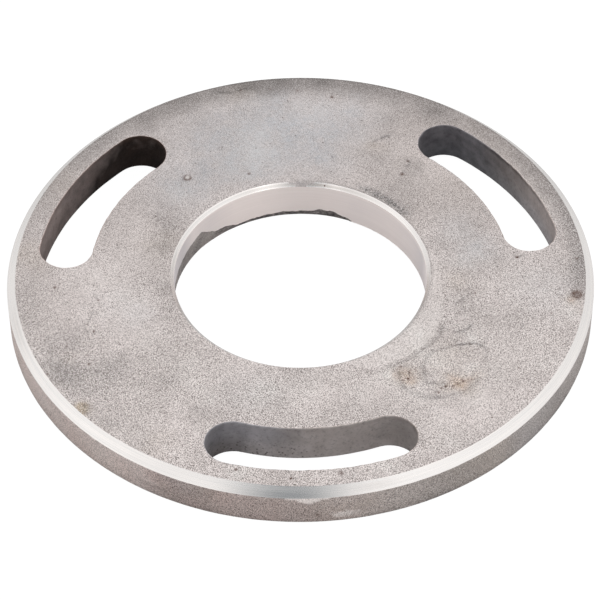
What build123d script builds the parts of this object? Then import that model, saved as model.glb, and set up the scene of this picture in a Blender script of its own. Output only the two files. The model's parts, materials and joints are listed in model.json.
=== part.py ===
from build123d import *
from math import radians, tan
import os

# Toilet flange: a loose clamping ring for a 90 mm waste pipe, cast in one piece.
# The casting has draft and soft edges; the bore and the top outer edge are turned.
# Millimetres. The origin is the centre of the underside, and +Z points to the turned side.

# The ring
RIM_RADIUS = 105.0  # widest, just under the turned edge
THICKNESS = 16.0
BORE_RADIUS = 45.25  # slips over a 90 mm pipe

# Turned edges, all at 45 degrees
RIM_CHAMFER = 3.2
BORE_CHAMFER = 1.3  # where the bore meets the top face
BURR_BREAK = 0.5  # where the bore meets the underside

# As cast
DRAFT = 2.0  # degrees: the rim narrows downwards and the slots widen downwards
CAST_ROUND = 0.5  # radius of every edge that isn't turned

# Curved slots for M16 bolts
SLOT_COUNT = 3
FIRST_SLOT = 30.0  # degrees from +X to the middle of the first slot
PITCH_RADIUS = 85.0
SLOT_WIDTH = 19.0  # at the top face, where it is narrowest
SLOT_SWEEP = 37.5  # degrees between the centres of its round ends

rim_edge_height = THICKNESS - RIM_CHAMFER
rim_foot_radius = RIM_RADIUS - rim_edge_height * tan(radians(DRAFT))

with BuildPart() as flange_ring:
    # The blank: a half section with the turned edges and the rim's draft, turned about Z
    with BuildSketch(Plane.XZ):
        with BuildLine():
            Polyline(
                (BORE_RADIUS + BURR_BREAK, 0),
                (rim_foot_radius, 0),
                (RIM_RADIUS, rim_edge_height),
                (RIM_RADIUS - RIM_CHAMFER, THICKNESS),
                (BORE_RADIUS + BORE_CHAMFER, THICKNESS),
                (BORE_RADIUS, THICKNESS - BORE_CHAMFER),
                (BORE_RADIUS, BURR_BREAK),
                close=True,
            )
        make_face()
    revolve(axis=Axis.Z)
    foot_of_rim = flange_ring.faces().sort_by(Axis.Z)[0].outer_wire().edges()
    fillet(foot_of_rim, CAST_ROUND)

    # The bolt slots, cored through so that they narrow upwards
    with BuildSketch(Plane.XY.offset(THICKNESS)):
        pitch_line = CenterArc(
            (0, 0), PITCH_RADIUS, -SLOT_SWEEP / 2, SLOT_SWEEP, mode=Mode.PRIVATE
        )
        with PolarLocations(0, SLOT_COUNT, FIRST_SLOT):
            SlotArc(pitch_line, SLOT_WIDTH)
    extrude(amount=-THICKNESS, taper=-DRAFT, mode=Mode.SUBTRACT)

    # The bore's mouths are single circles, so a mouth of several edges is a slot's
    top_face = flange_ring.faces().sort_by(Axis.Z)[-1]
    underside = flange_ring.faces().sort_by(Axis.Z)[0]
    mouths = top_face.inner_wires() + underside.inner_wires()
    slot_mouths = [mouth for mouth in mouths if len(mouth.edges()) > 1]
    fillet([edge for mouth in slot_mouths for edge in mouth.edges()], CAST_ROUND)

flange_ring.part.label = "flange_ring"

os.makedirs("parts", exist_ok=True)
export_step(flange_ring.part, "parts/flange_ring.step")
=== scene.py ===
import json
import math
import random
from collections import namedtuple
from itertools import combinations

import bpy
import numpy as np
from mathutils import Euler, Matrix, Vector, noise
from mathutils.geometry import delaunay_2d_cdt


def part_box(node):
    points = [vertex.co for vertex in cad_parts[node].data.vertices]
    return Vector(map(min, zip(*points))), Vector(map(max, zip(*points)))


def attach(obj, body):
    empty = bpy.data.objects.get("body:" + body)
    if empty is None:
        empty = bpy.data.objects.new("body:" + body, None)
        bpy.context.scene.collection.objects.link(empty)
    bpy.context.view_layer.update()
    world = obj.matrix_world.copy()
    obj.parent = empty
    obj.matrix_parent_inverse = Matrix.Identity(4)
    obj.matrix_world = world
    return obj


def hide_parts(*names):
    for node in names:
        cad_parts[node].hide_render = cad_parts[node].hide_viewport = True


# A cast toilet flange. The CAD ring is replaced by one closed mesh of the same size, with the
# casting's skin, marks and soft edges as geometry. Lengths are millimetres until the mesh is made.

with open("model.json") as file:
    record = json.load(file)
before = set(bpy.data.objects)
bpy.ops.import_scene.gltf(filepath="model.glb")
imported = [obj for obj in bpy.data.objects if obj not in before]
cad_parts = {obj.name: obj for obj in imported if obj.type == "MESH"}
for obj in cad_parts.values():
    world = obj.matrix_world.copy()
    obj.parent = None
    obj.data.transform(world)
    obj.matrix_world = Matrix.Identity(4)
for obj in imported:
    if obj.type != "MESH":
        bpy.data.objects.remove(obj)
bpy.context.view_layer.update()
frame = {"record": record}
MM = 0.001

# Sizes, from the frame
MOUNTS = {mount["name"]: mount for mount in frame["record"]["mounts"]}
low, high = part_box("flange_ring")
RIM = high.x / MM
THICK = high.z / MM
BORE = MOUNTS["pipe_bore"]["dims"]["r_mm"]
SLOT = MOUNTS["bolt_slots"]["dims"]
PITCH = SLOT["pcd_mm"] / 2
HALF_WIDTH = SLOT["hole_r_mm"]
HALF_SWEEP = math.asin((SLOT["slot_length_mm"] / 2 - HALF_WIDTH) / PITCH)
SLOT_MIDDLES = [math.radians(30 + 120 * i) for i in range(SLOT["count"])]

# Sizes that the frame doesn't hold, as in the CAD part
RIM_CHAMFER = 3.2
BORE_CHAMFER = 1.3
BURR_BREAK = 0.5
DRAFT = math.tan(math.radians(2.0))
CAST_ROUND = 0.5

TOP_EDGE = RIM - RIM_CHAMFER  # the top face's outer radius
RIM_TOP = THICK - RIM_CHAMFER  # where the rim meets its chamfer
BORE_MOUTH = BORE + BORE_CHAMFER  # the top face's inner radius
BORE_TOP = THICK - BORE_CHAMFER  # where the bore's wall meets its chamfer

# Mesh fineness
TOP_GRID = 0.82
UNDERSIDE_GRID = 1.7
WALL_STEP = 0.95
RIM_POINTS = 720
BORE_POINTS = 640

SKIN, TURNED, BORED, CORED = range(4)  # material numbers on the mesh


# --- shape of the casting's skin

def circle(a, radius):
    """The x and y of an angle in radians and a radius."""
    return radius * math.cos(a), radius * math.sin(a)


def polar(angle, radius):
    """The same, from an angle in degrees."""
    return circle(math.radians(angle), radius)


def bearing(x, y):
    """The angle of a point, from 0 to 360 degrees."""
    return math.degrees(math.atan2(y, x)) % 360


def ease(value, start, end):
    """0 at start, 1 at end, smooth between them. start may be the larger one."""
    t = min(max((value - start) / (end - start), 0.0), 1.0)
    return t * t * (3 - 2 * t)


def bell(distance, width):
    """1 at no distance, and about a third at this width."""
    return math.exp(-(distance / width) ** 2)


def wobble(x, y, z, size, seed):
    """Smooth noise from -1 to 1 with features of about this size."""
    return noise.noise(Vector((x / size + 17.3 * seed, y / size - 9.1 * seed, z / size + 5.7 * seed)))


# Pits in the top face: (angle, radius, half width, depth, darkness)
PITS = [
    (3, 78.1, 0.65, 0.4, 1.0), (303.4, 64.0, 0.65, 0.4, 1.2), (301.6, 63.6, 0.5, 0.3, 0.7),
    (305.3, 61.9, 0.5, 0.3, 0.9), (307.6, 62.0, 0.45, 0.25, 0.6), (304.7, 57.9, 0.6, 0.3, 0.9),
    (306.8, 75.7, 0.5, 0.35, 0.9), (308.4, 74.9, 0.5, 0.3, 0.8), (309.8, 75.1, 0.55, 0.4, 1.1),
    (311.0, 76.9, 0.5, 0.3, 0.9), (312.5, 77.3, 0.4, 0.3, 0.8), (314.4, 77.7, 0.6, 0.35, 1.1),
    (316.3, 79.4, 0.4, 0.2, 0.5), (254.1, 96.8, 0.65, 0.35, 1.0), (265.4, 98.3, 0.6, 0.35, 1.0),
    (275.6, 96.9, 1.0, 0.25, 0.6), (51, 62.6, 0.9, 0.3, 0.8), (52.8, 69.5, 0.7, 0.25, 0.7),
    (80, 92.2, 0.7, 0.35, 0.9), (107.6, 54.2, 0.7, 0.25, 0.7), (100.4, 97.9, 0.6, 0.2, 0.6),
    (94, 96.5, 0.5, 0.2, 0.6), (88, 95.0, 0.6, 0.2, 0.5), (198.7, 78.4, 0.6, 0.25, 0.8),
    (208.2, 86.5, 0.6, 0.25, 0.9), (205.2, 85.3, 0.5, 0.2, 0.7), (200.7, 89.8, 0.5, 0.2, 0.7),
    (206.3, 101.2, 0.6, 0.2, 0.7), (181.8, 87.8, 0.7, 0.2, 0.7), (187.7, 73.1, 0.5, 0.2, 0.7),
    (344.5, 91.3, 0.5, 0.2, 0.6), (350.5, 73.8, 0.35, 0.2, 0.8), (348, 63.0, 0.35, 0.25, 0.9),
    (326, 89.6, 0.45, 0.2, 0.7), (1.4, 99.4, 0.7, 0.25, 0.7), (310.8, 96.6, 0.4, 0.2, 0.7),
    (326.8, 69.5, 0.6, 0.2, 0.4),
]
BEAD = polar(127.5, 63.9)  # a small round grain that stands up in its own ring
ROUNDEL = polar(351, 99.0)  # a rough round plug mark beside the turned edge
ROUNDEL_RADIUS = 2.1

# Creases and scratches in the top face: (depth, half width, darkness, points); the darkness is painted
# shade in the crease. The first five run round a pad, and the next two are part of the trace of a
# larger one.
CREASES = [
    (0.20, 0.50, 1.0, [(62.0, -38.6), (59.6, -37.5), (56.8, -37.9), (54.2, -37.8)]),
    (0.12, 0.45, 0.5, [(54.2, -37.8), (50.0, -39.4), (47.2, -39.7), (44.6, -40.8)]),
    (0.10, 0.50, 0.4, [(62.0, -38.6), (63.4, -40.5), (63.6, -42.7), (63.1, -45.2)]),
    (0.08, 0.80, 0.4, [(44.6, -40.8), (42.2, -43.7), (41.0, -47.1), (40.9, -51.0)]),
    (0.08, 0.80, 0.4, [(40.9, -51.0), (41.7, -55.7), (45.4, -56.6), (48.0, -57.4)]),
    (0.10, 1.00, 0.4, [(31.8, -50.0), (32.3, -54.0), (34.0, -58.5), (38.8, -62.2), (44.7, -62.9)]),
    (0.10, 0.90, 0.4, [(44.7, -62.9), (49.4, -62.0), (54.5, -60.6), (57.6, -57.5), (60.2, -54.5)]),
    (0.10, 0.50, 0.7, [(59.1, -29.2), (57.6, -30.4), (56.0, -31.4), (53.1, -32.1)]),
    (0.06, 0.40, 0.35, [(54.4, -18.2), (57.4, -15.2), (61.4, -12.8)]),
    (0.10, 0.50, 0.7, [(30.1, 66.3), (31.5, 67.3), (34.4, 68.5), (36.3, 69.4)]),
    (0.10, 0.45, 0.6, [(41.8, 56.1), (42.7, 53.6), (41.6, 52.6)]),
    (0.08, 0.45, 0.5, [(40.0, 49.7), (38.8, 48.5)]),
    (0.06, 0.45, 0.6, [(77.7, 4.2), (81.2, 4.6)]),
    (0.06, 0.45, 0.5, [(77.4, -29.7), (76.9, -31.1)]),
    (0.06, 0.45, 0.5, [(67.3, 29.4), (68.4, 26.9), (69.4, 25.4)]),
    (0.06, 0.45, 0.4, [(-73.8, -6.0), (-72.5, -9.8)]),
    (0.06, 0.45, 0.4, [(-74.4, -16.0), (-76.2, -20.9)]),
    (0.10, 0.50, 0.8, [(-19.0, 96.4), (-17.6, 96.7), (-14.5, 97.2)]),
    (0.08, 0.80, 0.6, [(-27.0, 95.6), (-24.0, 95.5), (-21.0, 94.9)]),
]

# The outer edge of the smooth collar beside the bore: (angle, radius)
COLLAR = [
    (286, 46), (291, 51.5), (298, 54.4), (312, 55.9), (324, 56.9), (332, 55.2), (345, 51.7),
    (358, 50.3), (368, 49), (376, 46),
]


def box_around(points, margin):
    """Least and greatest x and y of some points, with a margin."""
    xs, ys = zip(*points)
    return min(xs) - margin, max(xs) + margin, min(ys) - margin, max(ys) + margin


CREASE_BOXES = [box_around(points, 3) for *_, points in CREASES]


def from_line(x, y, points):
    """Distance from a chain of straight lines."""
    nearest = math.inf
    for (ax, ay), (bx, by) in zip(points, points[1:]):
        dx, dy = bx - ax, by - ay
        t = ((x - ax) * dx + (y - ay) * dy) / (dx * dx + dy * dy)
        t = min(max(t, 0.0), 1.0)
        nearest = min(nearest, math.hypot(x - ax - t * dx, y - ay - t * dy))
    return nearest


def creases(x, y):
    """(depth, darkness) of the creases at a point."""
    moved_x = x + 0.4 * wobble(x, y, 0, 1.6, 26)
    moved_y = y + 0.4 * wobble(x, y, 0, 1.6, 27)
    depth = darkness = 0.0
    for (deep, width, dark, points), (x0, x1, y0, y1) in zip(CREASES, CREASE_BOXES):
        if x0 < x < x1 and y0 < y < y1:
            share = bell(from_line(moved_x, moved_y, points), width)
            depth += deep * share
            darkness += dark * share
    return depth, darkness * (1 + 0.5 * wobble(x, y, 0, 1.8, 28))


def near_pits(x, y, reach):
    """Pits within this many of their half widths: (distance, half width, depth, darkness)."""
    for angle, radius, size, depth, darkness in PITS:
        away = math.dist((x, y), polar(angle, radius))
        if away < reach * size:
            yield away, size, depth, darkness


def inside_collar(x, y):
    """How far a point lies inside the collar's outer edge, and its angle from 90 to 450."""
    angle = bearing(x, y)
    angle += 360 * (angle < 90)
    edge = float(np.interp(angle, *zip(*COLLAR)))
    return edge + 0.5 * wobble(x, y, 0, 3, 25) - math.hypot(x, y), angle


def top_height(x, y):
    """How far the top face's skin lies above the flat face."""
    height = -0.16 * ease(math.hypot(x, y), TOP_EDGE - 9, TOP_EDGE)
    height += 0.07 * wobble(x, y, 0, 34, 1) + 0.035 * wobble(x, y, 0, 13, 2)
    height -= creases(x, y)[0]
    height += 0.07 * ease(inside_collar(x, y)[0], -0.5, 0.5)
    for away, size, depth, _ in near_pits(x, y, 2.5):
        height -= depth * bell(away, size * 0.75)
    bead = math.dist((x, y), BEAD)
    if bead < 3:
        height += 0.42 * bell(bead, 0.65) - 0.2 * bell(bead - 1.3, 0.3)
    roundel = math.dist((x, y), ROUNDEL)
    if roundel < 4:
        height -= 0.28 * ease(roundel, ROUNDEL_RADIUS + 0.2, ROUNDEL_RADIUS - 0.3)
        height += 0.16 * ease(roundel, ROUNDEL_RADIUS - 0.2, 0) * (1 + wobble(x, y, 0, 0.8, 5))
    return height


def grain(x, y, z):
    """The sand's grain in any cast surface, along its normal."""
    return (
        0.012 * wobble(x, y, z, 1.7, 4)
        + 0.028 * wobble(x, y, z, 3.6, 5)
        + 0.030 * wobble(x, y, z, 9.0, 6)
    )


# The upper edge of the cast skin that the boring tool left low in the bore: (angle, height)
PATCH_EDGE = [
    (62, 0), (65, 1.3), (69, 2.2), (74, 3.1), (79, 2.8), (83, 1.9), (104, 1.7), (118, 1.2),
    (122, 2.5), (131, 3.8), (136, 6.6), (140, 8.7), (146, 7.8), (158, 6.7), (170, 5.8),
    (190, 5.4), (206, 3.4), (216, 0),
]
LEAST_PATCH = 0.25  # where the edge is lower than this, the bore is turned right down


def cast_patch_height(angle):
    """How high the cast skin reaches in the bore, with a jagged edge."""
    height = float(np.interp(angle, *zip(*PATCH_EDGE)))
    x, y = polar(angle, BORE)
    jag = 0.45 * wobble(x, y, 0, 2.6, 7) + 0.25 * wobble(x, y, 0, 0.9, 7)
    return height + jag * ease(height, 0.2, 1.0)


# --- stains and tones

# Shares of the stains and painted shade at a vertex. dark is a granular darkening, sooty on the faces
# and painted shade on the slots' walls; shade is a smooth darkening, brown tints what is under it,
# grit makes the grain stronger, and dull dulls turned metal; on the bore's wall it is painted shade.
TONES = ("cool", "warm", "dark", "light", "shade", "rust", "brown", "grit", "dull")
Tones = namedtuple("Tones", TONES, defaults=[0.0] * len(TONES))

# Soft patches on the top face: (angle, radius, reach, strength)
COOL = [
    (112, 76, 16, 0.8), (92, 72, 18, 0.9), (76, 80, 14, 0.8), (95, 90, 12, 0.5), (132, 62, 12, 0.8),
    (80, 58, 9, 0.6), (104, 57, 9, 0.8), (118, 60, 8, 0.5), (8, 64, 8, 0.8), (20, 62, 6, 0.5),
    (352, 88, 12, 0.35), (196, 62, 7, 0.3), (250, 60, 10, 0.3), (190, 68, 8, 0.2),
]
WARM = [
    (217.9, 101.2, 2.4, 4.2), (303.1, 62.6, 3.4, 1.6), (304, 60, 3.5, 0.6), (312, 76.5, 3.6, 1.7),
    (312.5, 81, 3.5, 0.9), (316.5, 79.5, 3, 0.8), (348, 100, 4, 0.3), (204, 91, 4, 0.3),
    (352, 56, 6, 0.4), (172, 98, 7, 0.6), (100, 99, 7, 0.6), (64, 70, 4, 0.5), (160, 52, 8, 0.4),
    (40, 84, 30, 0.25), (318, 66, 10, 0.35), (236, 97, 6, 0.35), (150, 98, 10, 0.3),
]
DARK = [
    (14, 52.5, 3.5, 0.5), (0, 98.5, 4, 0.5), (120, 62, 8, 0.25), (60, 62, 6, 0.3), (225, 98, 4, 0.4),
    (150, 54, 5.5, 0.75), (162, 51, 5, 0.65), (185, 49, 4.5, 0.45), (198, 50, 4, 0.35),
    (211, 92, 8, 0.65), (206, 97, 5, 0.7), (213, 79, 6, 0.6), (199, 89, 6, 0.45),
    (240, 75.5, 4.5, 0.4), (226, 70, 5, 0.35), (232, 96, 5, 0.3), (125, 94, 6, 0.5),
    (57, 97, 8, 0.65), (30, 99, 4, 0.35), (136, 98, 5, 0.3), (65, 87, 6, 0.3), (112, 92, 8, 0.2),
    (50, 67, 4, 0.6), (48, 52, 5, 0.4), (38, 50, 4, 0.4), (30, 62, 6, 0.1), (219, 100, 2, 0.8),
    (346, 57, 5, 0.35), (341, 61, 5, 0.35), (331, 64, 3.5, 0.25), (304, 60, 3, 0.3),
    (45, 60, 6, 0.35), (60, 68, 5, 0.3), (209, 98, 5, 0.2), (241, 60, 3, 0.2), (303, 100, 5, 0.2),
    (290, 99, 4, 0.2), (340, 78, 7, 0.2), (260, 66, 6, 0.2), (268, 50, 5, 0.2), (128, 64, 2.5, 0.35),
    (276, 97, 4, 0.25), (255, 99, 4, 0.2), (20, 75, 6, 0.2),
]
LIGHT = [
    (320, 51, 5, 0.6), (306, 51, 4, 0.25), (333, 51, 4, 0.15), (226, 59, 4, 0.4), (234, 58, 4, 0.1),
    (315, 59, 4, 0.8), (330, 68, 4, 0.9), (105, 60, 9, 0.35), (285, 98, 5, 0.8), (255, 98, 4, 0.8),
    (330, 98, 4, 0.5), (300, 98, 4, 0.6), (255, 58, 5, 0.6), (4, 61, 6, 0.4), (15, 61, 4, 0.3),
    (234, 65, 3.5, 0.4), (316, 66, 5, 0.55), (303, 72, 5, 0.6), (176, 68, 8, 0.2), (196, 64, 7, 0.2),
    (319, 76.2, 2.2, 0.8), (188, 64, 7, 0.3), (222, 62, 5, 0.1), (312, 86, 5, 0.35),
    (322, 84, 5, 0.3), (352, 84, 9, 0.3), (180, 76, 6, 0.25), (100, 72, 9, 0.3), (85, 84, 8, 0.25),
    (330, 84, 9, 0.2), (255, 62, 7, 0.4), (270, 57, 7, 0.45), (288, 60, 6, 0.3), (300, 60, 4, 1.0),
    (300, 88, 8, 0.25), (240, 68, 4, 0.65), (210, 62, 6, 0.3), (345, 98, 4, 0.9), (135, 60, 5, 0.3),
    (165, 60, 8, 0.15), (226, 65, 5, 0.25), (285, 67, 4, 0.2),
]
SMOOTH = [
    (202, 65, 12, 0.45), (181, 74, 14, 0.45), (180, 96, 8, 0.3), (194, 88, 10, 0.4),
    (276, 60, 9, 0.4), (292, 65, 8, 0.5), (305, 87, 10, 0.5), (315, 92, 9, 0.4), (243, 54, 7, 0.4),
    (237, 86, 9, 0.35), (165, 62, 10, 0.3), (328, 86, 9, 0.3), (212, 88, 9, -0.35),
    (205, 97, 8, -0.3), (257, 63, 8, -0.35), (150, 52, 6, -0.3), (338, 74, 16, 0.12),
    (322, 71, 8, 0.2),
]


def patches(x, y, spots):
    """Sum of the soft patches at a point, with ragged edges."""
    moved_x = x + 3.0 * wobble(x, y, 0, 8, 8)
    moved_y = y + 3.0 * wobble(x, y, 0, 8, 20)
    total = 0
    for angle, radius, reach, strength in spots:
        away = math.dist((moved_x, moved_y), polar(angle, radius))
        if away < 2.5 * reach:
            total += strength * bell(away, reach)
    return total * (1 + 0.5 * wobble(x, y, 0, 4.5, 9))


def smudge(x, y):
    """The blue-black scuffs beside the bore, at its back right."""
    angle = bearing(x, y)
    along = ease(angle, 31, 39) * ease(angle, 64, 56)
    across = bell(math.hypot(x, y) - 48.4, 1.5)
    return along * across * max(0.7 + 2.0 * wobble(x, y, 0, 1.1, 10), 0)


def edge_band_and_shade(x, y):
    """Darkening along the sides and back of the face's outer edge: (granular, smooth). The granular
    part is speckled; the smooth part and the thin line at the very edge are painted shade.
    """
    angle = bearing(x, y)
    radius = math.hypot(x, y) + 1.2 * wobble(x, y, 0, 6, 21)
    signed = (angle + 20) % 360 - 20
    right = ease(signed, 30, 9) * ease(signed, -12, -5)
    back = ease(angle, 5, 25) * ease(angle, 170, 132)
    side = 0.25 * ease(angle, 222, 200) * ease(angle, 140, 178)
    granular = right * ease(radius, 94.5, 101) + 0.25 * back * ease(radius, 95, 101)
    smooth = (0.75 * back + 0.7 * bell(angle - 92, 20) + side) * ease(radius, 89, 100)
    smooth *= 1 + 0.35 * wobble(x, y, 0, 7, 22)
    line = back * ease(math.hypot(x, y), TOP_EDGE - 0.9, TOP_EDGE - 0.1)
    return granular, smooth + 0.45 * line * (1 + 0.8 * wobble(x, y, 0, 9, 33))


def top_tones(x, y):
    """The tones of a point of the top face."""
    inside, around_bore = inside_collar(x, y)
    scuff = smudge(x, y)
    granular, smooth = edge_band_and_shade(x, y)
    soft = patches(x, y, DARK) * (1 - 0.85 * ease(inside, -0.3, 0.6))
    # The creases' darkness is painted shade.
    dark = 0.65 * soft + 1.7 * scuff + granular + 1.8 * creases(x, y)[1]
    dark += 0.8 * bell(inside + 1.0, 0.9) * ease(around_bore, 296, 304) * ease(around_bore, 336, 328)
    # Painted shade: the smooth edge band, and the face darker towards the back by 0.42 * ease(y, -45,
    # 55).
    shade = 0.45 * soft + smooth + 0.42 * ease(y, -45, 55)
    # Painted reflection: a dark line along the bore's mouth from its right front round to its back.
    shade += 0.6 * bell(math.hypot(x, y) - BORE_MOUTH, 0.7) * ease(around_bore, 285, 300)
    warm = patches(x, y, WARM)
    rust = 0.0
    for away, size, _, darkness in near_pits(x, y, 3):
        rust += 1.1 * darkness * bell(away, size * 0.8)
    roundel = math.dist((x, y), ROUNDEL)
    plug = ease(roundel, ROUNDEL_RADIUS + 0.2, ROUNDEL_RADIUS - 0.3)
    rust += 0.62 * plug + 0.3 * bell(roundel - ROUNDEL_RADIUS + 0.3, 0.5)
    warm += bell(math.hypot(x - ROUNDEL[0] + 2.2, y - ROUNDEL[1] + 2.6), 2.2)
    bead = math.dist((x, y), BEAD)
    rust += 0.8 * bell(bead - 1.25, 0.35) * (0.85 + 0.6 * wobble(x, y, 0, 1.5, 30))
    warm += 1.3 * bell(bead, 0.8)
    light = patches(x, y, LIGHT) + 2.5 * bell(bead, 0.7)
    light += 0.5 * ease(inside, -0.3, 0.8) * (0.55 + 0.45 * bell(around_bore - 322, 20))
    brown = 0.35 * ease(warm, 0.4, 1.4) * (x > 0)
    grit = scuff + 0.8 * plug + 0.5 * granular + 0.7 - 1.2 * patches(x, y, SMOOTH)
    grit -= 0.5 * ease(inside, -0.3, 0.8)
    cool = patches(x, y, COOL) + 0.6 * scuff
    return Tones(cool, warm, dark, light, shade, max(rust, 0), brown, max(grit, -0.7))


def spill(angle, depth):
    """1 where smeared metal covers the front of the rim, this far below its turned edge."""
    x, y = polar(angle, RIM)
    reach = 2.5 * bell(angle - 268.8, 2.6) + 0.6 * wobble(x, y, depth, 1.6, 11)
    return ease(reach - depth, 0.1, 0.6)


def rim_tones(x, y, z):
    """The tones of a point of the rim: smeared and ground spots, stains, painted light on its left
    side, and darker towards the foot.
    """
    angle = bearing(x, y)
    depth = RIM_TOP - z
    ragged = 0.3 * wobble(x, y, z, 1.5, 11)
    light = 2.4 * spill(angle, depth)
    light += 1.5 * ease(bell(angle - 275.9, 2.8) * bell(z - 3.6, 2.0) + ragged, 0.35, 0.75)
    light += 0.7 * ease(bell(angle - 237.8, 2.2) * bell(z - 6.2, 1.2) + ragged, 0.35, 0.75)
    # Painted light: the rim's left side made lighter, as if lit from the left.
    light += 0.8 * ease(angle, 244, 232) * ease(angle, 170, 190)
    dark = 0.55 * bell(angle - 246, 7) + 0.38 * bell(angle - 297, 8) + 0.42 * bell(angle - 326, 10)
    dark += 0.5 * ease(z, 3, 0) + 0.08 * ease(angle, 282, 292)
    dark += 0.6 * bell(angle - 238, 3) * bell(z - 4.5, 1.0) + 0.3 * wobble(x, y, z, 9, 12)
    rust = 0.8 * bell(1.8 * (angle - 270.6), 0.8) * bell(z - 4.0, 0.8)
    warm = 0.35 + 0.4 * bell(angle - 302, 8) + 0.4 * wobble(x, y, z, 14, 13)
    cool = 0.6 * bell(angle - 320, 8)
    brown = 0.65 * ease(angle, 292, 255) * ease(angle, 60, 150) * (1 + 0.4 * wobble(x, y, z, 9, 32))
    return Tones(cool, max(warm, 0), max(dark, 0), light, 0, rust, brown, 0.4)


# Painted shade on the slots' walls: slot middle -> (degrees from the middle, share)
SLOT_SHADE = {
    30: [(-20, 0.0), (-6, 0.04), (0, 0.3), (8, 0.57), (24, 0.69)],
    150: [(-25, 1.0), (-16, 0.86), (-8, 0.62), (0, 0.52), (8, 0.34), (24, 0.38)],
    270: [(-24, 0.45), (-16, 0.14), (-8, 0.22), (0, 0.02), (16, 0.03), (24, 0.3)],
}
BLUE = {30: (0, 16), 150: (24, 30), 270: (4, -18)}  # where the painted shade turns from brown to blue


def burr(x, y):
    """1 along the outer mouth of the back right slot, where a ragged burr was knocked off."""
    angle = bearing(x, y)
    return ease(angle, 16, 22) * ease(angle, 46, 38) * ease(math.hypot(x, y), PITCH, PITCH + 6)


def slot_tones(middle, x, y, z):
    """The tones of a point of a slot's wall."""
    name = round(math.degrees(middle))
    along = (bearing(x, y) - name + 180) % 360 - 180
    # dark on the walls is painted shade: it follows SLOT_SHADE along each slot, changes low down in
    # slots 150 and 270, and deepens just under the burr's lip.
    dark = float(np.interp(along, *zip(*SLOT_SHADE[name])))
    low_down = ease(z, THICK - 4, 1)
    dark += 0.14 * wobble(x, y, z, 7, 14) + 0.12 * wobble(x, y, z, 2.5, 23)
    dark += (0.14 + 0.4 * ease(along, -6, -18)) * low_down * (name == 150)
    dark += (0.25 * ease(along, -14, -20) - 0.13) * low_down * (name == 270)
    lip, ragged = ease(z, THICK - 0.5, THICK - 0.2), burr(x, y)
    below_lip = ease(z, THICK - 2.2, THICK - 0.8) - 1.5 * lip
    dark += 0.35 * ragged * below_lip * (1 + wobble(x, y, 0, 1.8, 31))
    cool = ease(along + 3 * wobble(x, y, z, 5, 24), *BLUE[name])
    cool *= 1 - 0.7 * low_down * (name == 270)
    cool += 0.6 * (1 - cool) * low_down * (name == 30)
    warm = (1 - cool) * (0.45 + 0.5 * ease(z, THICK - 3, THICK - 0.5) + 0.4 * wobble(x, y, z, 5, 15))
    specks = ease(z, THICK - 6, 3) * ease(along, 8, -4) * (name == 270)
    # Painted highlights: a pale line along the lip of slot 150 and along the lip of the ragged burr.
    light = 1.2 * lip * (name == 150) + 2.4 * lip * ragged * (0.6 + wobble(x, y, 0, 2.2, 34))
    brown = {30: 0.35 * (1 - low_down), 150: 1.0, 270: 0.1}[name]
    return Tones(cool, max(warm, 0), max(dark, 0), max(light, 0), 0, specks, brown)


# --- mesh

class Casting:
    """Vertices, faces and tones of the one closed mesh."""

    def __init__(self):
        self.points = []
        self.tones = []
        self.faces = []
        self.numbers = []

    def add(self, point, tones):
        self.points.append(point)
        self.tones.append(tones)
        return len(self.points) - 1

    def band(self, upper, lower, material, skin_columns=None):
        """Quads between two closed rows, facing outward when the first is the higher one."""
        count = len(upper)
        for i in range(count):
            j = (i + 1) % count
            self.faces.append((upper[i], lower[i], lower[j], upper[j]))
            as_cast = skin_columns and skin_columns[i] and skin_columns[j]
            self.numbers.append(SKIN if as_cast else material)


casting = Casting()


def skin_point(x, y, z, normal):
    """A cast point, moved along its normal by the grain and near the top by the face's height."""
    move = grain(x, y, z)
    lift = top_height(x, y) * ease(z, THICK - 5, THICK - 0.2) if z > THICK - 5 else 0
    return x + normal[0] * move, y + normal[1] * move, z + normal[2] * move + lift


def around(count):
    return [math.tau * i / count for i in range(count)]


def turned_edge():
    """Four rows down the turned chamfer: the top face's outer row, two between, the rim's first."""
    top_row, edge_row, inner_rows = [], [], [[], []]
    for a in around(RIM_POINTS):
        c, s = math.cos(a), math.sin(a)
        x, y = TOP_EDGE * c, TOP_EDGE * s
        h = top_height(x, y) + grain(x, y, THICK)
        top = Vector(((TOP_EDGE - h) * c, (TOP_EDGE - h) * s, THICK + h))
        b = 0.5 * grain(RIM * c, RIM * s, RIM_TOP)
        edge = Vector(((RIM + b) * c, (RIM + b) * s, RIM_TOP - b))
        degrees = math.degrees(a)
        # The chamfer is darker at 192 degrees; at 282 degrees the darkening widens the dark reflection
        # of the slit in front, a painted reflection.
        dull = 0.3 * bell(degrees - 192, 6) + 0.3 * bell(degrees - 282, 5)
        top_row.append(casting.add(top, top_tones(x, y)))
        for i, row in enumerate(inner_rows):
            row.append(casting.add(top.lerp(edge, (i + 1) / 3), Tones(dull=dull)))
        edge_row.append(casting.add(edge, rim_tones(x, y, RIM_TOP)))
    rows = [top_row, *inner_rows, edge_row]
    for upper, lower in zip(rows, rows[1:]):
        casting.band(upper, lower, TURNED)
    return top_row, edge_row


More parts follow.
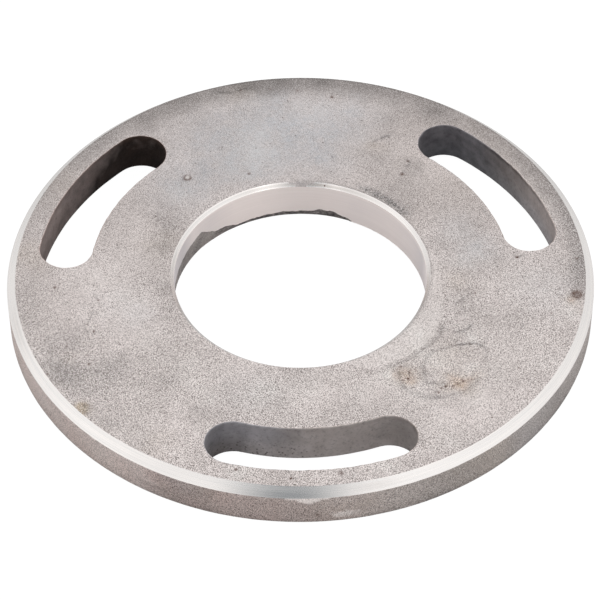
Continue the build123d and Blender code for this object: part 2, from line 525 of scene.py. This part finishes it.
def rim(edge_row):
    """The drafted rim, from the turned edge down to the underside's outer row."""
    heights = np.linspace(RIM_TOP, CAST_ROUND, 14)[1:]
    profile = [(RIM - DRAFT * (RIM_TOP - z), z, 0) for z in heights]
    foot = profile[-1][0]
    for degrees in (30, 60, 90):
        turn = math.radians(degrees)
        radius = foot - CAST_ROUND * (1 - math.cos(turn))
        profile.append((radius, CAST_ROUND * (1 - math.sin(turn)), turn))
    upper = edge_row
    for radius, z, turn in profile:
        row = []
        depth = RIM_TOP - z
        for a in around(RIM_POINTS):
            c, s = math.cos(a), math.sin(a)
            normal = (c * math.cos(turn), s * math.cos(turn), -math.sin(turn))
            smear = 0.55 * ease(depth, 0, 1.9) * spill(math.degrees(a), depth - 0.9)
            point = skin_point((radius + smear) * c, (radius + smear) * s, z, normal)
            row.append(casting.add(point, rim_tones(radius * c, radius * s, z)))
        casting.band(upper, row, SKIN)
        upper = row
    return upper


MOUTH_PIT = 76.2  # degrees: a pit half way down the bore's top chamfer
UNTURNED = 87.0  # and the middle of a stretch of it that the tool hardly touched

# Painted shade on the turned wall of the bore, darker at its sides: (degrees, share)
BORE_SHADE = [
    (0, 0.2), (12, 0.48), (24, 0.25), (40, 0.12), (62, 0.12), (75, 0), (118, 0), (134, 0.2),
    (146, 0.15), (156, 0.52), (176, 0.55), (200, 0.2), (360, 0.2),
]


def left_as_cast(angle, row):
    """Whether the tool left this part of the bore's top chamfer, in rows from the face down."""
    x, y = polar(angle, BORE)
    stretch = bell(angle - UNTURNED, 5.5) + 0.25 * wobble(x, y, 0, 1.5, 29)
    return stretch > (0.35, 0.6, 0.85)[row] or (row == 1 and abs(angle - MOUTH_PIT) < 0.7)


def bore_mouth(angles):
    """The bore's top chamfer. Returns its rows on the top face and on the bore's wall."""
    rows = [[], [], [], []]
    for a in angles:
        c, s = math.cos(a), math.sin(a)
        x, y = BORE_MOUTH * c, BORE_MOUTH * s
        h = top_height(x, y) + grain(x, y, THICK)
        point = ((BORE_MOUTH + h) * c, (BORE_MOUTH + h) * s, THICK + h)
        rows[0].append(casting.add(point, top_tones(x, y)))
    for k in (1, 2, 3):
        radius, z = BORE + BORE_CHAMFER * (1 - k / 3), THICK - BORE_CHAMFER * k / 3
        on_chamfer = k < 3
        for a in angles:
            degrees = math.degrees(a)
            dull = 0.15 + 0.95 * bell(degrees - 80, 20) + 0.35 * bell(degrees - 108, 9)
            dull += 0.3 * bell(degrees - 170, 9)
            pit = bell(degrees - MOUTH_PIT, 0.9)
            tones = Tones(dark=0.8, cool=0.3, rust=pit * on_chamfer, dull=dull * on_chamfer)
            rows[k].append(casting.add((*circle(a, radius), z), tones))
    for k in range(3):
        as_cast = [left_as_cast(math.degrees(a), k) for a in angles]
        casting.band(rows[k + 1], rows[k], TURNED, as_cast)
    return rows[0], rows[-1]


def bore_wall(angles, upper, steps):
    """The turned wall, from its chamfer down to the step where the cast skin is left."""
    bands = 8
    for k in range(1, bands + 1):
        row = []
        for a, step in zip(angles, steps):
            z = BORE_TOP + (step - BORE_TOP) * k / bands
            dull = float(np.interp(math.degrees(a), *zip(*BORE_SHADE)))
            row.append(casting.add((*circle(a, BORE), z), Tones(dull=dull)))
        casting.band(row, upper, BORED)
        upper = row
    return upper


def cast_patch(angles, upper, steps, patch):
    """The bore below the step: a little wider and sooty where it is cast, turned elsewhere."""
    bands = 9
    has_skin = [height > LEAST_PATCH for height in patch]
    for k in range(1, bands + 1):
        row = []
        for a, step, height in zip(angles, steps, patch):
            z = step + (BURR_BREAK - step) * (k / bands) ** 1.6
            relief = 0.12 * ease(k, 0, 1.5) + 0.045 * (step - z)
            relief += 0.8 * abs(grain(*circle(a, BORE), z))
            point = (*circle(a, BORE + relief * ease(height, LEAST_PATCH, 1.2)), z)
            degrees = math.degrees(a)
            dark_share = 1.1 + 0.9 * ease(degrees, 134, 118) + 0.5 * ease(degrees, 176, 200)
            dark_share += 0.7 * wobble(*point, 5, 16)
            row.append(casting.add(point, Tones(cool=0.25, warm=0.35, dark=dark_share)))
        casting.band(row, upper, BORED, has_skin)
        upper = row
    return upper


def bore():
    """The turned bore with its two broken edges, and the skin that the tool didn't reach."""
    angles = around(BORE_POINTS)
    patch = [cast_patch_height(math.degrees(a)) for a in angles]
    steps = [max(height, LEAST_PATCH) + BURR_BREAK for height in patch]
    top_row, upper = bore_mouth(angles)
    upper = bore_wall(angles, upper, steps)
    upper = cast_patch(angles, upper, steps, patch)
    foot = []
    for a, index in zip(angles, upper):
        radius = math.hypot(*casting.points[index][:2]) + BURR_BREAK
        foot.append(casting.add((*circle(a, radius), 0), Tones()))
    casting.band(foot, upper, TURNED)
    return top_row, foot


def slot_outline(middle):
    """Round a slot counter-clockwise: (angle on its centre line, direction into the metal)."""
    outline = []
    ends = [middle - HALF_SWEEP, middle + HALF_SWEEP]
    outer = round(2 * HALF_SWEEP * (PITCH + HALF_WIDTH) / WALL_STEP)
    inner = round(2 * HALF_SWEEP * (PITCH - HALF_WIDTH) / WALL_STEP)
    cap = round(math.pi * HALF_WIDTH / WALL_STEP)
    for i in range(outer):
        a = ends[0] + 2 * HALF_SWEEP * i / outer
        outline.append((a, a))
    for i in range(cap):
        outline.append((ends[1], ends[1] + math.pi * i / cap))
    for i in range(inner):
        a = ends[1] - 2 * HALF_SWEEP * i / inner
        outline.append((a, a + math.pi))
    for i in range(cap):
        outline.append((ends[0], ends[0] + math.pi + math.pi * i / cap))
    return outline


def slot(middle):
    """A drafted slot with its two rounded mouths. Returns its rows on the top face and underside."""
    profile = []
    for degrees in (0, 30, 60, 90):
        turn = math.radians(degrees)
        z = THICK - CAST_ROUND * (1 - math.cos(turn))
        profile.append((HALF_WIDTH + CAST_ROUND * (1 - math.sin(turn)), z, math.pi / 2 - turn))
    for z in np.linspace(THICK - CAST_ROUND, CAST_ROUND, 16)[1:]:
        profile.append((HALF_WIDTH + DRAFT * (THICK - z), z, 0))
    foot = profile[-1][0]
    for degrees in (30, 60, 90):
        turn = math.radians(degrees)
        out = foot + CAST_ROUND * (1 - math.cos(turn))
        profile.append((out, CAST_ROUND * (1 - math.sin(turn)), -turn))
    outline = slot_outline(middle)
    rows = []
    for out, z, turn in profile:
        row = []
        for at, facing in outline:
            nx, ny = math.cos(facing), math.sin(facing)
            x, y = PITCH * math.cos(at) + out * nx, PITCH * math.sin(at) + out * ny
            ragged = 0.16 + 0.22 * burr(x, y)
            mouth = ragged * wobble(x, y, 0, 2.2, 17) * ease(z, THICK - 2.5, THICK)
            x, y = x + nx * mouth, y + ny * mouth
            normal = (-nx * math.cos(turn), -ny * math.cos(turn), math.sin(turn))
            on_face = z > THICK - 0.1 * CAST_ROUND
            tones = top_tones(x, y) if on_face else slot_tones(middle, x, y, z)
            row.append(casting.add(skin_point(x, y, z, normal), tones))
        if rows:
            in_wall = 1 < len(rows) < len(profile) - 1  # the first and last bands are the faces' skin
            casting.band(row, rows[-1], CORED if in_wall else SKIN)
        rows.append(row)
    return rows[0], rows[-1]


def off_slot(x, y):
    """Distance from the nearest slot's centre line."""
    radius, angle = math.hypot(x, y), math.atan2(y, x)
    nearest = math.inf
    for middle in SLOT_MIDDLES:
        along = math.atan2(math.sin(angle - middle), math.cos(angle - middle))
        if abs(along) <= HALF_SWEEP:
            nearest = min(nearest, abs(radius - PITCH))
        else:
            end = middle + math.copysign(HALF_SWEEP, along)
            nearest = min(nearest, math.dist((x, y), circle(end, PITCH)))
    return nearest


def line_points(points):
    """Points in five close rows along a chain of straight lines."""
    step = 0.5
    rows = []
    for (ax, ay), (bx, by) in zip(points, points[1:]):
        length = math.hypot(bx - ax, by - ay)
        count = round(length / step)
        for i in range(count):
            x, y = ax + (bx - ax) * i / count, ay + (by - ay) * i / count
            for off in (-0.9, -0.45, 0, 0.45, 0.9):
                rows.append((x - off * (by - ay) / length, y + off * (bx - ax) / length))
    return rows


def ring_points(centre, size):
    """A mark's middle and four finer rings round it, out to one and a half half widths."""
    px, py = centre
    points = [centre]
    for ring in (0.35, 0.7, 1.05, 1.5):
        count = max(6, round(9 * (ring + 0.4)))
        for i in range(count):
            dx, dy = circle(math.tau * (i + ring) / count, size * ring)
            points.append((px + dx, py + dy))
    return points


def grid_points(grid, outer):
    """A jittered triangular grid over the whole disc."""
    draw = random.Random(5)
    row_gap = grid * 0.866  # near-equilateral
    for j in range(int(2 * outer / row_gap)):
        y = -outer + j * row_gap
        for i in range(int(2 * outer / grid)):
            x = -outer + (i + 0.5 * (j % 2)) * grid
            yield x + draw.uniform(-0.12, 0.12) * grid, y + draw.uniform(-0.12, 0.12) * grid


def face_points(grid, inner, outer, slot_edge, marks, lines):
    """Points inside a face: rows along the lines, rings at the marks, and the grid elsewhere."""
    points = []
    for line in lines:
        for point in line_points(line):
            clear = off_slot(*point) > slot_edge + 0.4 and math.hypot(*point) < outer - 0.4
            crowded = any(math.dist(point, mark) < 1.7 * size for mark, size in marks)
            crowded = crowded or any(math.dist(point, other) < 0.25 for other in points[-40:])
            if clear and not crowded:
                points.append(point)
    for mark, size in marks:
        for x, y in ring_points(mark, size):
            in_face = inner + 0.4 < math.hypot(x, y) < outer - 0.3
            if in_face and off_slot(x, y) > slot_edge + 0.3:
                points.append((x, y))
    boxes = [box_around(line, 2) for line in lines]
    for x, y in grid_points(grid, outer):
        if not inner + grid * 0.5 < math.hypot(x, y) < outer - grid * 0.5:
            continue
        if off_slot(x, y) < slot_edge + grid * 0.5:
            continue
        if any(math.dist((x, y), mark) < 1.8 * size for mark, size in marks):
            continue
        if any(
            x0 < x < x1 and y0 < y < y1 and from_line(x, y, line) < 1.2
            for line, (x0, x1, y0, y1) in zip(lines, boxes)
        ):
            continue
        points.append((x, y))
    return points


def in_metal(triangles, rows):
    """The triangles that reach an inner point without crossing the rows' edges."""
    beside = {}
    for triangle in triangles:
        for side in combinations(triangle, 2):
            beside.setdefault(frozenset(side), []).append(triangle)
    row_edges = {frozenset(edge) for edge in rows}
    waiting = [triangle for triangle in triangles if max(triangle) >= len(rows)]
    found = dict.fromkeys(waiting)
    while waiting:
        for side in combinations(waiting.pop(), 2):
            if frozenset(side) in row_edges:
                continue
            for other in beside[frozenset(side)]:
                if other not in found:
                    found[other] = None
                    waiting.append(other)
    return list(found)


def flat_face(loops, points, height, upward):
    """Triangles between the given rows, over the given points: the top face or the underside."""
    flat, edges, indices = [], [], []
    for loop in loops:
        start = len(flat)
        for index in loop:
            flat.append(Vector(casting.points[index][:2]))
            indices.append(index)
        count = len(loop)
        edges += [(start + i, start + (i + 1) % count) for i in range(count)]
    for x, y in points:
        flat.append(Vector((x, y)))
        if upward:
            tones = top_tones(x, y)
        else:
            warm = 0.3 + 0.3 * wobble(x, y, 0, 15, 19)
            tones = Tones(warm=warm, dark=0.5 + 0.4 * wobble(x, y, 0, 20, 18))
        normal = (0, 0, 1 if upward else -1)
        indices.append(casting.add(skin_point(x, y, height, normal), tones))
    _, _, triangles, origins, _, _ = delaunay_2d_cdt(flat, edges, [], 0, 1e-7)
    triangles = [tuple(origins[i][0] for i in triangle) for triangle in triangles]
    for triangle in in_metal(triangles, edges):
        face = [indices[i] for i in triangle]
        casting.faces.append(tuple(face if upward else reversed(face)))
        casting.numbers.append(SKIN)


def build_casting():
    """All the casting's bands and faces, then the object."""
    outer_top, edge_row = turned_edge()
    outer_foot = rim(edge_row)
    bore_top, bore_foot = bore()
    mouths = [slot(middle) for middle in SLOT_MIDDLES]
    marks = [(polar(angle, radius), size) for angle, radius, size, *_ in PITS]
    marks += [(BEAD, 1.05), (ROUNDEL, 1.4)]
    lines = [line for *_, line in CREASES]
    top_slot_edge = HALF_WIDTH + CAST_ROUND
    top_points = face_points(TOP_GRID, BORE_MOUTH, TOP_EDGE, top_slot_edge, marks, lines)
    foot_points = face_points(
        UNDERSIDE_GRID, BORE + BURR_BREAK + 0.6, RIM - 1.2, top_slot_edge + DRAFT * THICK, [], []
    )
    flat_face([outer_top, bore_top, *[m[0] for m in mouths]], top_points, THICK, True)
    flat_face([outer_foot, bore_foot, *[m[1] for m in mouths]], foot_points, 0, False)
    return casting_object()


def new_object(name, data):
    """An object in the scene with this data."""
    made = bpy.data.objects.new(name, data)
    bpy.context.scene.collection.objects.link(made)
    return made


def casting_object():
    """The casting's mesh, in metres, as an object in the scene."""
    mesh = bpy.data.meshes.new("ring_casting")
    mesh.from_pydata([tuple(c * MM for c in p) for p in casting.points], [], casting.faces)
    mesh.validate()
    mesh.polygons.foreach_set("material_index", casting.numbers)
    mesh.polygons.foreach_set("use_smooth", [True] * len(mesh.polygons))
    for column, name in enumerate(TONES):
        layer = mesh.attributes.new(name, "FLOAT", "POINT")
        layer.data.foreach_set("value", [float(tones[column]) for tones in casting.tones])
    mark_turned_edges(mesh)
    return new_object("ring_casting", mesh)


def mark_turned_edges(mesh):
    """Edges between two finishes are cut sharp by the tool."""
    finishes = {}
    for polygon in mesh.polygons:
        for key in polygon.edge_keys:
            finishes.setdefault(key, set()).add(polygon.material_index)
    sharp = mesh.attributes.new("sharp_edge", "BOOLEAN", "EDGE")
    flags = [len(finishes[tuple(sorted(edge.vertices))]) > 1 for edge in mesh.edges]
    sharp.data.foreach_set("value", flags)


# --- materials

class Nodes:
    """Short names for the shader nodes used here."""

    def __init__(self, tree, place):
        self.tree = tree
        self.place = self.node("ShaderNodeTexCoord").outputs[place]

    def node(self, kind, **settings):
        made = self.tree.nodes.new(kind)
        for key, value in settings.items():
            setattr(made, key, value)
        return made

    def join(self, socket, value):
        if isinstance(value, bpy.types.NodeSocket):
            self.tree.links.new(value, socket)
        else:
            socket.default_value = value

    def noise(self, size, detail, roughness, stretch=(1, 1, 1), shift=(0, 0, 0), turn=(0, 0, 0)):
        """Noise from 0 to 1 with features of about this size in millimetres."""
        mapping = self.node("ShaderNodeMapping")
        mapping.inputs["Rotation"].default_value = turn
        mapping.inputs["Scale"].default_value = stretch
        mapping.inputs["Location"].default_value = shift
        self.join(mapping.inputs["Vector"], self.place)
        texture = self.node("ShaderNodeTexNoise")
        texture.inputs["Scale"].default_value = 1000 / size
        texture.inputs["Detail"].default_value = detail
        texture.inputs["Roughness"].default_value = roughness
        self.join(texture.inputs["Vector"], mapping.outputs["Vector"])
        return texture.outputs["Fac"]

    def cells(self, size):
        """Distance to scattered points, in cells of this size in millimetres."""
        texture = self.node("ShaderNodeTexVoronoi")
        texture.inputs["Scale"].default_value = 1000 / size
        self.join(texture.inputs["Vector"], self.place)
        return texture.outputs["Distance"]

    def tone(self, name):
        return self.node("ShaderNodeAttribute", attribute_name=name).outputs["Fac"]

    def math(self, operation, *values, clamp=False):
        made = self.node("ShaderNodeMath", operation=operation, use_clamp=clamp)
        for socket, value in zip(made.inputs, values):
            self.join(socket, value)
        return made.outputs[0]

    def times(self, first, second, clamp=False):
        return self.math("MULTIPLY", first, second, clamp=clamp)

    def along(self, direction):
        """How far the place lies in a direction."""
        made = self.node("ShaderNodeVectorMath", operation="DOT_PRODUCT")
        self.join(made.inputs[0], self.place)
        made.inputs[1].default_value = direction
        return made.outputs["Value"]

    def span(self, value, start, end, to_start=0.0, to_end=1.0):
        """value from start to end, as to_start to to_end."""
        made = self.node("ShaderNodeMapRange")
        names = ("Value", "From Min", "From Max", "To Min", "To Max")
        for name, number in zip(names, (value, start, end, to_start, to_end)):
            self.join(made.inputs[name], number)
        return made.outputs["Result"]

    def mix(self, share, first, second, blend="MIX"):
        made = self.node("ShaderNodeMix", data_type="RGBA", blend_type=blend)
        self.join(made.inputs["Factor"], share)
        self.join(made.inputs[6], first)
        self.join(made.inputs[7], second)
        return made.outputs[2]

    def bump(self, height, depth, strength, under=None):
        """Relief of this depth in millimetres for a height from 0 to 1."""
        made = self.node("ShaderNodeBump")
        made.inputs["Strength"].default_value = strength
        made.inputs["Distance"].default_value = depth * MM
        self.join(made.inputs["Height"], height)
        if under is not None:
            self.join(made.inputs["Normal"], under)
        return made.outputs["Normal"]


def new_material(name):
    """A material with its shader and its node helper."""
    material = bpy.data.materials.new(name)
    material.use_nodes = True
    return material, material.node_tree.nodes["Principled BSDF"], Nodes(material.node_tree, "Object")


def cast_skin():
    """Sand-cast aluminium: warm matt grey with a fine dark grain, soft cool and warm patches."""
    material, shader, n = new_material("cast_skin")
    fine = n.noise(0.32, 1.0, 0.7, turn=(0.6, 0.4, 0.3))
    middle = n.noise(2.4, 3.0, 0.65, shift=(0.003, 0.001, 0.007))
    broad = n.noise(22, 4.0, 0.6, shift=(0.5, 0.9, 0.2))
    breakup = n.span(n.noise(1.5, 3.0, 0.75, shift=(0.8, 0.2, 0.4)), 0.30, 0.70, 0.60, 1.40)
    colour = n.mix(n.span(broad, 0.35, 0.65), (0.648, 0.583, 0.566, 1), (0.794, 0.720, 0.702, 1))
    colour = n.mix(n.span(middle, 0.53, 0.78, 0.0, 0.16), colour, (0.37, 0.345, 0.33, 1))
    tones, shares = {}, {}
    for name, most, stain in (
        ("cool", 0.5, (0.57, 0.59, 0.63, 1)),
        ("warm", 0.42, (0.585, 0.475, 0.365, 1)),
        ("light", 0.5, (0.87, 0.83, 0.80, 1)),
        ("dark", 0.40, (0.055, 0.05, 0.052, 1)),
    ):
        tones[name] = n.tone(name)
        shares[name] = n.times(n.times(tones[name], breakup), most, clamp=True)
        colour = n.mix(shares[name], colour, stain)
    colour = n.mix(n.times(n.tone("shade"), 0.40, clamp=True), colour, (0.10, 0.09, 0.085, 1))
    # The grain: dark hollows and pale tips, fainter where the skin is smooth and cool
    smooth = n.math("ADD", n.times(tones["cool"], 0.6), n.times(tones["light"], 0.5), clamp=True)
    grit = n.math("SUBTRACT", n.math("ADD", n.tone("grit"), 1.0), n.times(smooth, 0.75))
    grit = n.times(grit, n.span(n.along((0, 1, 0)), -0.03, 0.05, 1.08, 0.58))
    hollows = n.times(n.span(fine, 0.52, 0.29), grit, clamp=True)
    colour = n.mix(hollows, colour, (0.17, 0.15, 0.14, 1))
    tips = n.times(n.span(fine, 0.54, 0.77, 0.0, 0.65), grit, clamp=True)
    colour = n.mix(tips, colour, (0.90, 0.865, 0.84, 1))
    pores = n.times(n.span(n.cells(2.1), 0.17, 0.08), n.span(middle, 0.45, 0.58))
    colour = n.mix(n.times(pores, 0.75), colour, (0.12, 0.10, 0.09, 1))
    colour = n.mix(n.tone("brown"), colour, (1.0, 0.885, 0.865, 1), "MULTIPLY")
    rust = n.times(n.tone("rust"), n.span(breakup, 0.60, 1.40, 0.7, 1.2), clamp=True)
    colour = n.mix(rust, colour, (0.115, 0.062, 0.045, 1))
    n.join(shader.inputs["Base Color"], colour)
    n.join(shader.inputs["Metallic"], n.math("SUBTRACT", 0.8, n.times(shares["light"], 0.7)))
    n.join(shader.inputs["Roughness"], n.span(middle, 0.3, 0.7, 0.50, 0.62))
    relief = n.bump(fine, 0.07, 0.7)
    relief = n.bump(n.times(pores, -1.0), 0.08, 0.8, relief)
    n.join(shader.inputs["Normal"], relief)
    return material


def cored_wall():
    """The slots' walls: cast against the core, darkened by painted shade, brown or blue in places."""
    material, shader, n = new_material("cored_wall")
    fine = n.noise(1.1, 3.0, 0.7, shift=(0.2, 0.2, 0.9))
    middle = n.noise(4.5, 3.0, 0.6, shift=(0.6, 0.1, 0.3))
    dark, cool, warm = (n.tone(name) for name in ("dark", "cool", "warm"))
    colour = n.mix(n.span(middle, 0.35, 0.65), (0.58, 0.54, 0.525, 1), (0.67, 0.63, 0.62, 1))
    colour = n.mix(n.times(cool, 0.5), colour, (0.53, 0.54, 0.61, 1))
    # Painted shade, mixed towards a brown or a blue near-black.
    dark_share = n.times(dark, n.span(middle, 0.3, 0.7, 0.88, 1.12), clamp=True)
    shade_colour = n.mix(cool, (0.016, 0.013, 0.012, 1), (0.025, 0.027, 0.037, 1))
    colour = n.mix(dark_share, colour, shade_colour)
    colour = n.mix(n.times(warm, 0.30, clamp=True), colour, (0.17, 0.115, 0.09, 1))
    colour = n.mix(n.span(fine, 0.50, 0.25, 0.0, 0.45), colour, (0.045, 0.04, 0.04, 1))
    colour = n.mix(n.tone("brown"), colour, (1.0, 0.885, 0.865, 1), "MULTIPLY")
    specks = n.times(n.span(n.cells(1.5), 0.30, 0.15), n.tone("rust"))
    colour = n.mix(n.times(specks, 0.7), colour, (0.03, 0.014, 0.012, 1))
    n.join(shader.inputs["Base Color"], colour)
    shader.inputs["Metallic"].default_value = 0.6
    n.join(shader.inputs["Roughness"], n.span(fine, 0.3, 0.7, 0.58, 0.70))
    n.join(shader.inputs["Normal"], n.bump(fine, 0.14, 0.8))
    return material


def turned(name, colour, line_colour, dull_and_shade_colour, roughness, lines, gleam):
    """Aluminium off the lathe, with fine lines that run round the axis and draw out its gleam."""
    material, shader, n = new_material(name)
    fine_lines = n.noise(1.0, 2.0, 0.6, stretch=(0.02, 0.02, 6.0))
    bands = n.noise(1.0, 2.0, 0.5, stretch=(0.015, 0.015, 1.3), shift=(0.4, 0.4, 0.4))
    base = n.mix(n.span(fine_lines, 0.35, 0.70, 0.0, lines), colour, line_colour)
    base = n.mix(n.span(bands, 0.4, 0.7, 0.0, lines * 0.6), base, line_colour)
    cloud = n.noise(6.0, 3.0, 0.6, shift=(0.1, 0.6, 0.3))
    base = n.mix(n.span(cloud, 0.45, 0.75, 0.0, 0.10), base, line_colour)
    # dull mixes towards dull_and_shade_colour: duller metal on the chamfers, painted shade on the
    # bore's wall.
    base = n.mix(n.times(n.tone("dull"), 0.6), base, dull_and_shade_colour)
    n.join(shader.inputs["Base Color"], base)
    shader.inputs["Metallic"].default_value = 1.0
    shader.inputs["Anisotropic"].default_value = gleam
    shader.inputs["Anisotropic Rotation"].default_value = 0.25
    n.join(shader.inputs["Roughness"], n.span(bands, 0.3, 0.7, roughness, roughness + 0.08))
    n.join(shader.inputs["Normal"], n.bump(fine_lines, 0.012, 0.5))
    tangent = n.node("ShaderNodeTangent", direction_type="RADIAL", axis="Z")
    n.join(shader.inputs["Tangent"], tangent.outputs["Tangent"])
    return material


# --- stage, light and camera

def floor():
    """A plain floor just under the ring: white to the camera, a pale grey card to the ring, painted
    darker round the ring as shade.
    """
    half, z = 6.0, low.z - 0.3 * MM
    corners = [(-half, -half, z), (half, -half, z), (half, half, z), (-half, half, z)]
    mesh = bpy.data.meshes.new("floor")
    mesh.from_pydata(corners, [], [(0, 1, 2, 3)])
    plane = new_object("floor", mesh)
    material, shader, n = new_material("floor")
    seen = n.node("ShaderNodeLightPath").outputs["Is Camera Ray"]
    length = n.node("ShaderNodeVectorMath", operation="LENGTH")
    n.join(length.inputs[0], n.place)
    # Painted shade: the card is darker within 0.12 m of the middle, fading out by 0.17 m.
    outward = n.span(length.outputs["Value"], 0.12, 0.17)
    card_and_shade = n.mix(outward, (0.58, 0.58, 0.58, 1), (0.84, 0.84, 0.84, 1))
    n.join(shader.inputs["Base Color"], n.mix(seen, card_and_shade, (0.08, 0.08, 0.08, 1)))
    shader.inputs["Roughness"].default_value = 1.0
    shader.inputs["Specular IOR Level"].default_value = 0.0
    shader.inputs["Emission Color"].default_value = (1, 1, 1, 1)
    n.join(shader.inputs["Emission Strength"], n.span(seen, 0, 1, 0.0, 0.97))
    mesh.materials.append(material)


def softbox(name, place, aim, size, glow):
    """A rectangular lamp whose face has this radiance."""
    data = bpy.data.lights.new(name, "AREA")
    data.shape = "RECTANGLE"
    data.size, data.size_y = size
    data.energy = glow * math.pi * size[0] * size[1]
    lamp = new_object(name, data)
    lamp.location = place
    lamp.rotation_euler = (Vector(aim) - Vector(place)).to_track_quat("-Z", "Y").to_euler()


def studio():
    """A light tent, brighter overhead, dimmer in front, with a slit where the camera stands."""
    world = bpy.data.worlds.new("studio")
    world.use_nodes = True
    n = Nodes(world.node_tree, "Generated")
    side = n.along((*polar(CAMERA_AZIMUTH + 90, 1), 0))
    front = n.span(n.along((*polar(CAMERA_AZIMUTH, 1), 0)), 0.10, 0.25)
    up = n.along((0, 0, 1))
    wall = n.span(up, 0.0, 0.5, 0.80, 1.06)
    wall = n.times(wall, n.span(n.along((1, 0, 0)), -1, 1, 1.03, 0.99))
    ahead = n.span(n.math("ABSOLUTE", n.math("ADD", side, 0.2)), 0.80, 0.40)
    wall = n.times(wall, n.span(n.times(ahead, front), 0, 1, 1.0, 0.86))
    slit = n.span(n.math("ABSOLUTE", n.math("ADD", side, 0.06)), 0.36, 0.08)
    slit = n.times(slit, n.times(front, n.span(up, 0.2, 0.45)))
    dim = n.mix(slit, (1, 1, 1, 1), (0.25, 0.275, 0.295, 1))
    tent = n.mix(1.0, dim, wall, "MULTIPLY")
    seen = n.node("ShaderNodeLightPath").outputs["Is Camera Ray"]
    n.join(world.node_tree.nodes["Background"].inputs["Color"], n.mix(seen, tent, (1, 1, 1, 1)))
    bpy.context.scene.world = world
    softbox("top_softbox", (0, -0.34, 0.75), (0, -0.1, 0), (0.8, 0.45), 0.9)
    bpy.context.scene.view_settings.view_transform = "Standard"


CAMERA_AZIMUTH = -92.43  # degrees: the camera stands in front, a little left of the front slot
CAMERA_ELEVATION = 45.63
CAMERA_DISTANCE = 15.54 * RIM * MM  # from the middle of the top face, in metres
CAMERA_ROLL = 0.35
LENS = 273.8
AIM_BELOW = 0.34  # degrees: the ring sits a little above the middle of the picture


def camera():
    target = Vector((-0.15 * MM, 0, THICK * MM))
    elevation = math.radians(CAMERA_ELEVATION)
    away = Vector((*polar(CAMERA_AZIMUTH, math.cos(elevation)), math.sin(elevation)))
    data = bpy.data.cameras.new("camera")
    data.lens = LENS
    data.sensor_width = 36
    data.clip_start, data.clip_end = 0.05, 50
    cam = new_object("camera", data)
    turn = (-away).to_track_quat("-Z", "Y").to_matrix().to_4x4()
    turn = turn @ Euler((-math.radians(AIM_BELOW), 0, math.radians(-CAMERA_ROLL))).to_matrix().to_4x4()
    cam.matrix_world = Matrix.Translation(target + away * CAMERA_DISTANCE) @ turn
    bpy.context.scene.camera = cam


camera()
studio()
floor()
ring = build_casting()
for material in (
    cast_skin(),
    turned(
        "turned_edge", (0.96, 0.918, 0.888, 1), (0.74, 0.725, 0.72, 1), (0.42, 0.37, 0.34, 1),
        roughness=0.20, lines=0.5, gleam=0.6,
    ),
    # The bore's bluish dull_and_shade_colour is the colour of its painted shade.
    turned(
        "turned_bore", (1.0, 0.92, 0.892, 1), (0.88, 0.815, 0.79, 1), (0.22, 0.26, 0.34, 1),
        roughness=0.60, lines=0.25, gleam=0.8,
    ),
    cored_wall(),
):
    ring.data.materials.append(material)
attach(ring, "root")
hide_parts("flange_ring")
